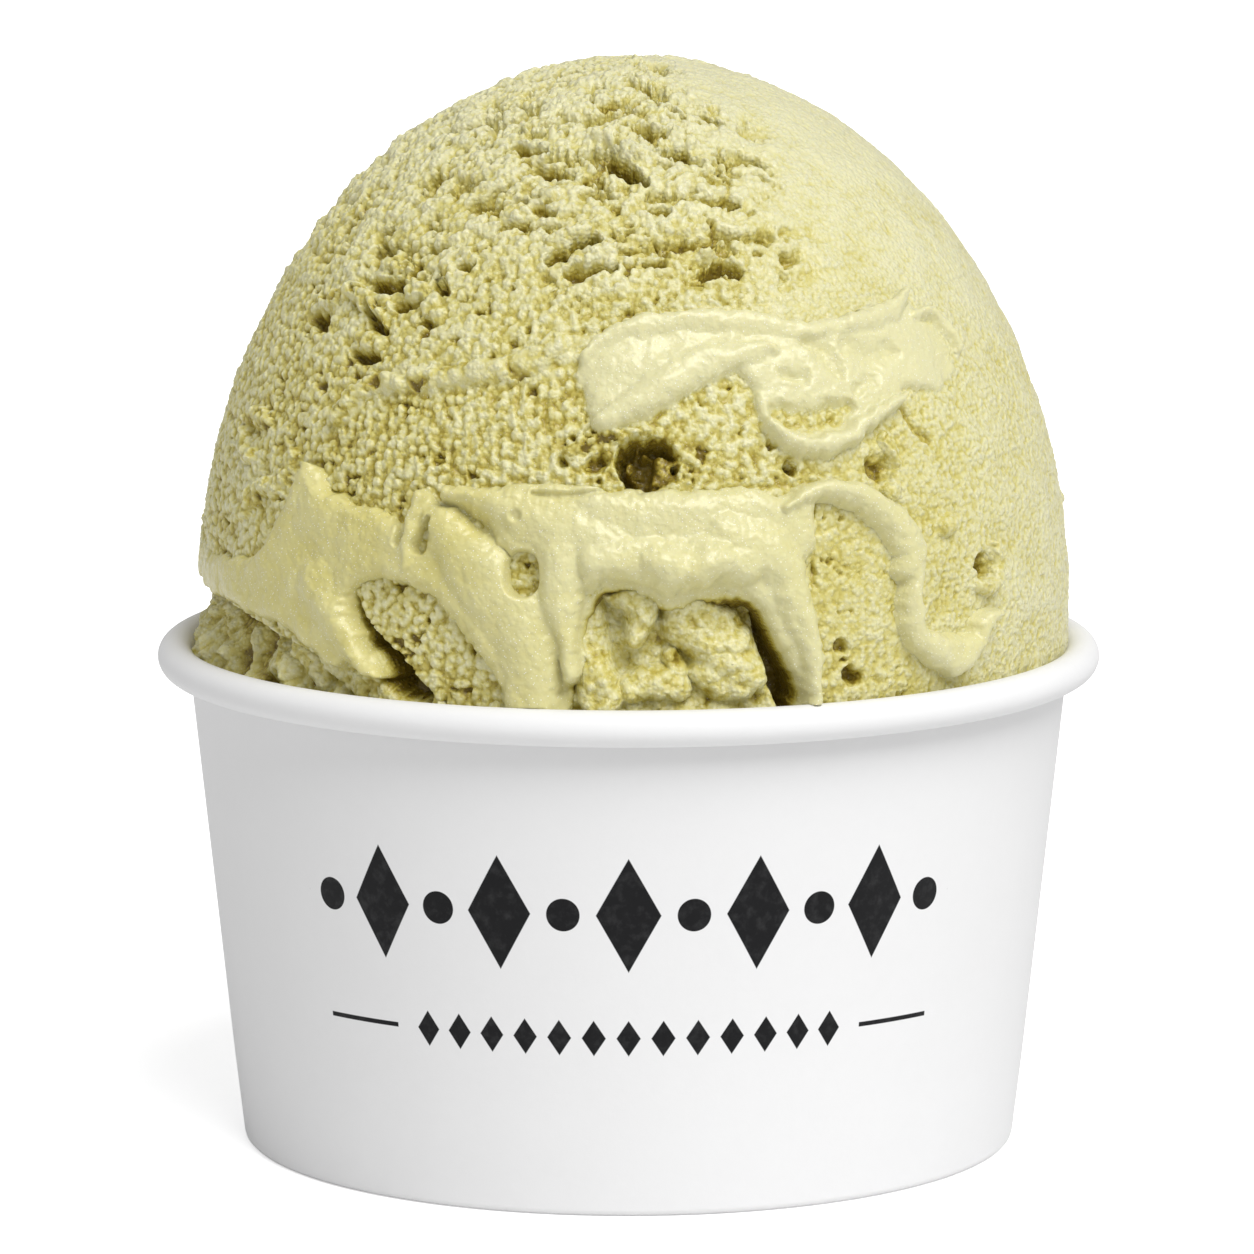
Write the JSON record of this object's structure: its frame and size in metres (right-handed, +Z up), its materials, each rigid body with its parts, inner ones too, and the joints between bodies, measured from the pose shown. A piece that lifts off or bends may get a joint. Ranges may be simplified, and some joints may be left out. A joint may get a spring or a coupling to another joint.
{
  "type": "gelato cup",
  "caption": "Squat paper cup with a rolled rim, packed with pale green gelato and topped with one tall scoop smeared down to the rim.",
  "frame": {"origin": "centre of the cup's foot ring, on the surface the cup stands on", "axes": "+Z up along the cup's axis, -Y the front with the smears and the printed side, +X to the right seen from the front"},
  "size_m": [0.09, 0.09, 0.1036],
  "materials": {
    "paper_wall": "coated white board, satin",
    "paper_floor": "coated white board, satin",
    "gelato": "frozen cream, slightly wet sheen"
  },
  "bodies": {
    "root": {"cup_wall": "paper_wall", "cup_floor": "paper_floor", "gelato_fill": "gelato", "gelato_scoop": "gelato"}
  },
  "joints": []
}
